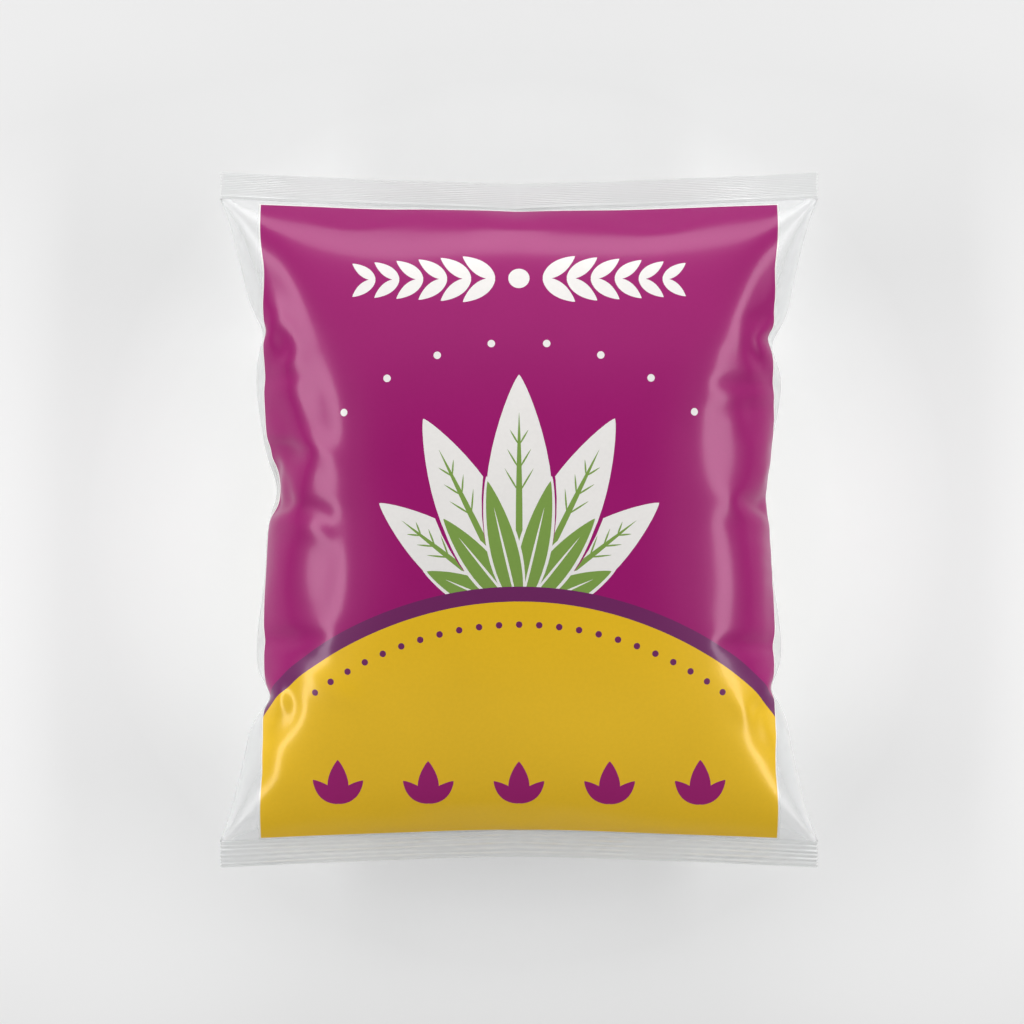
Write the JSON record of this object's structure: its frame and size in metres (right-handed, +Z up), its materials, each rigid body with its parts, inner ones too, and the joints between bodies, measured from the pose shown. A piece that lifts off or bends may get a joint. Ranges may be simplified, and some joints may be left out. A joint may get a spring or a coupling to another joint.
{
  "type": "sealed film pillow bag of daikon radishes",
  "caption": "Gas-filled pillow bag of clear film with a printed front, crimped end seals and a back fin seam, lying on its back, with whole daikon radishes sealed inside.",
  "frame": {"origin": "on the supporting surface under the middle of the bag, which lies on its back", "axes": "+X across the bag's width, +Y along its length towards the top seal, +Z up out of the printed front"},
  "size_m": [0.24, 0.279, 0.0817],
  "materials": {
    "clear_film": "clear glossy film",
    "purple_ink": "purple print under glossy film",
    "dark_ink": "dark purple print under glossy film",
    "yellow_ink": "yellow print under glossy film",
    "seal_film": "crimped translucent film",
    "daikon_skin": "smooth waxy white radish skin",
    "daikon_stalk": "cut green leaf stalks"
  },
  "bodies": {
    "root": {"film_tube": "clear_film", "print_purple_field": "purple_ink", "print_dark_band": "dark_ink", "print_yellow_field": "yellow_ink", "top_seal": "seal_film", "bottom_seal": "seal_film", "back_seam": "seal_film", "daikon_1_root": "daikon_skin", "daikon_1_stalks": "daikon_stalk", "daikon_2_root": "daikon_skin", "daikon_2_stalks": "daikon_stalk", "daikon_3_root": "daikon_skin", "daikon_3_stalks": "daikon_stalk"}
  },
  "joints": []
}
